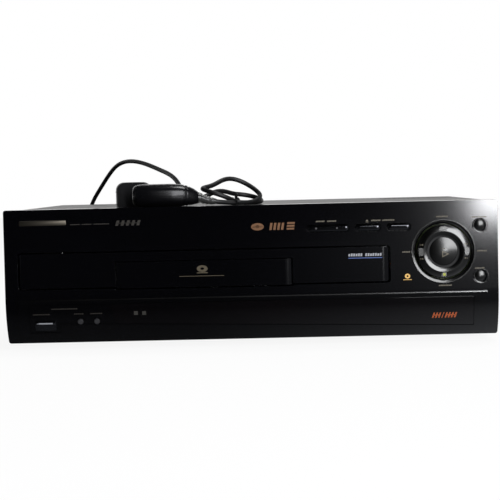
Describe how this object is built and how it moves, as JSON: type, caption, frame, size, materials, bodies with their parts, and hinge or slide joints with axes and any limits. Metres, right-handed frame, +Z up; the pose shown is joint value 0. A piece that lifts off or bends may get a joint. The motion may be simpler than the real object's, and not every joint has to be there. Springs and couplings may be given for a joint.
{
  "type": "laserdisc player",
  "caption": "Front-loading laserdisc player with a large disc tray, an inner CD tray, a ring control and a swept front panel; its mains lead lies coiled on top.",
  "frame": {"origin": "middle of the case's footprint, on the surface that the feet stand on", "axes": "+Z up, the front panel faces -Y, +X to the right seen from the front"},
  "size_m": [0.4226, 0.4376, 0.1663],
  "materials": {
    "panel_black": "satin, moulded",
    "fascia_black": "semi-gloss",
    "smoked_window": "smoked, glossy",
    "cover_steel": "fine textured paint",
    "zinc_steel": "zinc plated",
    "foot_rubber": "matt",
    "screw_steel": "black zinc",
    "connector_black": "moulded",
    "cord_rubber": "flexible PVC",
    "button_black": "semi-gloss",
    "button_grey": "satin",
    "inner_plastic": "moulded",
    "tray_plastic": "fine grain",
    "board_green": "solder mask",
    "tube_glass": "display glass",
    "bright_steel": "plain",
    "sled_metal": "die cast",
    "gear_nylon": "natural",
    "belt_rubber": "matt",
    "plug_plastic": "moulded, semi-gloss",
    "tie_plastic": "twisted tie"
  },
  "bodies": {
    "case": {"front_panel": "panel_black", "lower_fascia": "fascia_black", "power_panel": "fascia_black", "display_window": "smoked_window", "top_cover": "cover_steel", "rear_panel": "cover_steel", "chassis": "zinc_steel", "foot_front_left": "foot_rubber", "foot_rear_left": "foot_rubber", "foot_front_right": "foot_rubber", "foot_rear_right": "foot_rubber", "cover_screws": "screw_steel", "av_jack_block": "connector_black", "scart_socket": "connector_black", "cord_gland": "cord_rubber", "mains_cord": "cord_rubber", "plug_lead": "cord_rubber", "cord_hank": "cord_rubber", "play_collar": "inner_plastic", "mech_frame": "inner_plastic", "tray_guide_left": "inner_plastic", "tray_guide_right": "inner_plastic", "front_board": "board_green", "main_board": "board_green", "power_supply": "board_green", "display_tube": "tube_glass", "guide_rods": "bright_steel", "sled_motor": "bright_steel", "loading_motor": "bright_steel", "loading_belt": "belt_rubber", "mains_plug": "plug_plastic", "plug_adapter": "plug_plastic", "cord_tie": "tie_plastic"},
    "ld_tray_body": {"ld_tray": "tray_plastic", "ld_door": "panel_black"},
    "cd_tray_body": {"cd_tray": "tray_plastic", "cd_door": "panel_black"},
    "lift": {"lift_base": "bright_steel", "spindle_motor": "bright_steel"},
    "turntable": {"turntable": "inner_plastic"},
    "clamp_arm_body": {"clamp_arm": "bright_steel", "clamp_pin": "bright_steel"},
    "clamper_body": {"clamper": "inner_plastic"},
    "pickup": {"pickup_carriage": "sled_metal"},
    "lens": {"lens_holder": "inner_plastic"},
    "sled_screw_body": {"sled_screw": "bright_steel"},
    "tray_gear_body": {"tray_gear": "gear_nylon"},
    "belt_pulley_body": {"belt_pulley": "gear_nylon"},
    "motor_pulley_body": {"motor_pulley": "gear_nylon"},
    "gimbal": {"ring_gimbal": "inner_plastic"},
    "ring": {"ring_control": "button_black"},
    "power_button_body": {"power_button": "button_black"},
    "side_button_body": {"side_button": "button_black"},
    "ld_open_button_body": {"ld_open_button": "button_black"},
    "cd_open_button_body": {"cd_open_button": "button_black"},
    "pause_button_body": {"pause_button": "button_black"},
    "stop_button_body": {"stop_button": "button_black"},
    "round_button_left_body": {"round_button_left": "button_grey"},
    "round_button_right_body": {"round_button_right": "button_grey"},
    "play_button_body": {"play_button": "button_black"}
  },
  "joints": [
    {"name": "ld_tray_slide", "type": "slide", "parent": "case", "child": "ld_tray_body", "axis": [0, -1, 0], "range_m": [0, 0.312]},
    {"name": "cd_tray_slide", "type": "slide", "parent": "ld_tray_body", "child": "cd_tray_body", "axis": [0, -1, 0], "range_m": [0, 0.225]},
    {"name": "spindle_lift", "type": "slide", "parent": "case", "child": "lift", "axis": [0, 0, 1], "range_m": [0, 0.0137]},
    {"name": "turntable_spin", "type": "hinge", "parent": "lift", "child": "turntable", "pos_m": [-0.04, -0.03025, 0.055], "axis": [0, 0, 1], "continuous": true},
    {"name": "clamp_arm_hinge", "type": "hinge", "parent": "case", "child": "clamp_arm_body", "pos_m": [-0.04, 0.17555, 0.085], "axis": [-1, 0, 0], "range_deg": [0, 4]},
    {"name": "clamper_spin", "type": "hinge", "parent": "clamp_arm_body", "child": "clamper_body", "pos_m": [-0.04, -0.03025, 0.079], "axis": [0, 0, 1], "continuous": true},
    {"name": "pickup_slide", "type": "slide", "parent": "case", "child": "pickup", "axis": [0, 1, 0], "range_m": [0, 0.118]},
    {"name": "lens_focus", "type": "slide", "parent": "pickup", "child": "lens", "axis": [0, 0, 1], "range_m": [-0.0005, 0.0005], "stiffness_N_per_m": 100},
    {"name": "sled_screw_spin", "type": "hinge", "parent": "case", "child": "sled_screw_body", "pos_m": [0.006, 0.06, 0.047], "axis": [0, 1, 0], "continuous": true},
    {"name": "tray_gear_spin", "type": "hinge", "parent": "case", "child": "tray_gear_body", "pos_m": [0.13387, -0.15225, 0.055], "axis": [0, 0, 1], "continuous": true},
    {"name": "belt_pulley_spin", "type": "hinge", "parent": "case", "child": "belt_pulley_body", "pos_m": [0.14888, -0.12627, 0.055], "axis": [0, 0, 1], "continuous": true},
    {"name": "motor_pulley_spin", "type": "hinge", "parent": "case", "child": "motor_pulley_body", "pos_m": [0.17788, -0.11227, 0.055], "axis": [0, 0, 1], "continuous": true},
    {"name": "gimbal_tilt", "type": "hinge", "parent": "case", "child": "gimbal", "pos_m": [0.16375, -0.186, 0.078], "axis": [1, 0, 0], "range_deg": [-3, 3], "stiffness_Nm_per_rad": 0.5},
    {"name": "ring_tilt", "type": "hinge", "parent": "gimbal", "child": "ring", "pos_m": [0.16375, -0.186, 0.078], "axis": [0, 0, 1], "range_deg": [-3, 3], "stiffness_Nm_per_rad": 0.5},
    {"name": "power_button_press", "type": "slide", "parent": "case", "child": "power_button_body", "axis": [0, 1, 0], "range_m": [0, 0.0012], "stiffness_N_per_m": 800},
    {"name": "side_button_press", "type": "slide", "parent": "case", "child": "side_button_body", "axis": [0, 1, 0], "range_m": [0, 0.0012], "stiffness_N_per_m": 800},
    {"name": "ld_open_button_press", "type": "slide", "parent": "case", "child": "ld_open_button_body", "axis": [0, 1, 0], "range_m": [0, 0.0012], "stiffness_N_per_m": 800},
    {"name": "cd_open_button_press", "type": "slide", "parent": "case", "child": "cd_open_button_body", "axis": [0, 1, 0], "range_m": [0, 0.0012], "stiffness_N_per_m": 800},
    {"name": "pause_button_press", "type": "slide", "parent": "case", "child": "pause_button_body", "axis": [0, 1, 0], "range_m": [0, 0.0012], "stiffness_N_per_m": 800},
    {"name": "stop_button_press", "type": "slide", "parent": "case", "child": "stop_button_body", "axis": [0, 1, 0], "range_m": [0, 0.0012], "stiffness_N_per_m": 800},
    {"name": "round_button_left_press", "type": "slide", "parent": "case", "child": "round_button_left_body", "axis": [0, 1, 0], "range_m": [0, 0.0012], "stiffness_N_per_m": 800},
    {"name": "round_button_right_press", "type": "slide", "parent": "case", "child": "round_button_right_body", "axis": [0, 1, 0], "range_m": [0, 0.0012], "stiffness_N_per_m": 800},
    {"name": "play_button_press", "type": "slide", "parent": "case", "child": "play_button_body", "axis": [0, 1, 0], "range_m": [0, 0.0012], "stiffness_N_per_m": 800}
  ],
  "couplings": [
    {"joint": "tray_gear_spin", "follows": "ld_tray_slide", "rad_per_m": 55.556},
    {"joint": "belt_pulley_spin", "follows": "ld_tray_slide", "rad_per_m": -83.333},
    {"joint": "motor_pulley_spin", "follows": "ld_tray_slide", "rad_per_m": -278.37},
    {"joint": "sled_screw_spin", "follows": "pickup_slide", "rad_per_m": 314.16}
  ]
}
